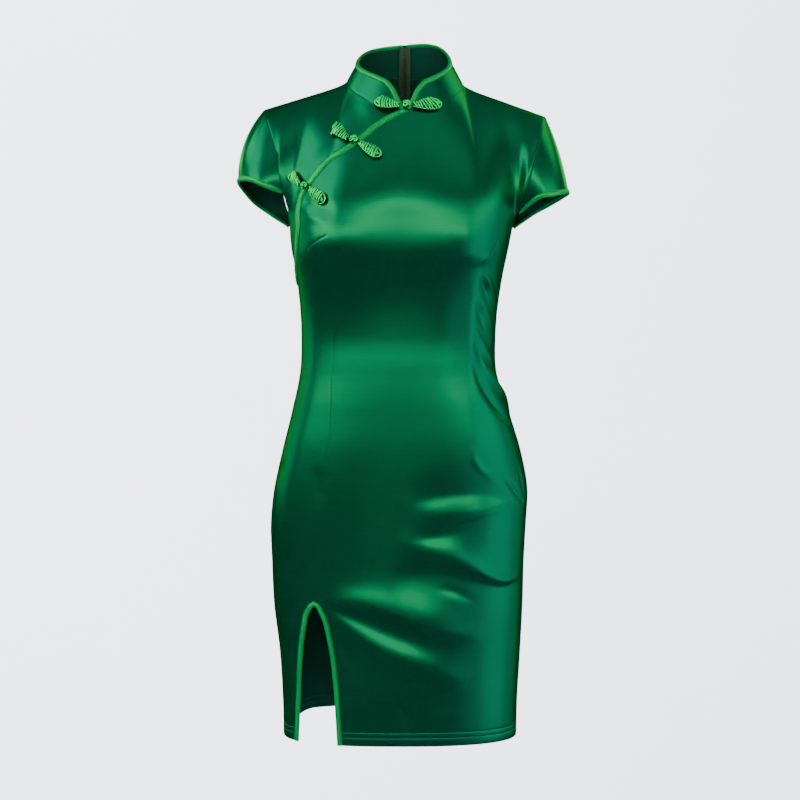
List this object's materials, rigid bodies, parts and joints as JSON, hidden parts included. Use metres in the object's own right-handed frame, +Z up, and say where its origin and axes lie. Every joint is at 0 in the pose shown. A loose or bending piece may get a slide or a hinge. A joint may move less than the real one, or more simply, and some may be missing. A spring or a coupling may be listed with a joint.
{
  "type": "cheongsam dress",
  "caption": "Fitted green satin cheongsam dress, hollow as worn, with stand collar, cap sleeves, slanted opening with frog knots, a bound front slit and a back zip.",
  "frame": {"origin": "middle of the neck opening on the line between the shoulder seams, where the wearer's shoulders carry the dress", "axes": "+X to the wearer's left, +Y to the back, +Z up"},
  "size_m": [0.4391, 0.222, 0.9163],
  "materials": {
    "emerald_satin": "satin",
    "green_bias_satin": "satin",
    "bright_green_cord": "twisted cord",
    "dark_green_tape": "woven tape",
    "green_lacquered_metal": "lacquered"
  },
  "bodies": {
    "dress": {"back_left": "emerald_satin", "back_right": "emerald_satin", "binding_collar_left": "green_bias_satin", "binding_collar_right": "green_bias_satin", "binding_opening": "green_bias_satin", "binding_sleeve_left": "green_bias_satin", "binding_sleeve_right": "green_bias_satin", "binding_slit": "green_bias_satin", "collar_left": "emerald_satin", "collar_right": "emerald_satin", "frog_armpit_knot": "bright_green_cord", "frog_armpit_left": "bright_green_cord", "frog_armpit_right": "bright_green_cord", "frog_chest_knot": "bright_green_cord", "frog_chest_left": "bright_green_cord", "frog_chest_right": "bright_green_cord", "frog_neck_knot": "bright_green_cord", "frog_neck_left": "bright_green_cord", "frog_neck_right": "bright_green_cord", "front_main": "emerald_satin", "front_underlap": "emerald_satin", "sleeve_left": "emerald_satin", "sleeve_right": "emerald_satin", "zip_slider": "green_lacquered_metal", "zip_tape_left": "dark_green_tape", "zip_tape_right": "dark_green_tape"},
    "pull_tab": {"zip_pull_tab": "green_lacquered_metal"}
  },
  "joints": [
    {"name": "pull_tab_hinge", "type": "hinge", "parent": "dress", "child": "pull_tab", "pos_m": [0, 0.06141, 0.04861], "axis": [1, 0, 0], "range_deg": [0, 150]}
  ]
}
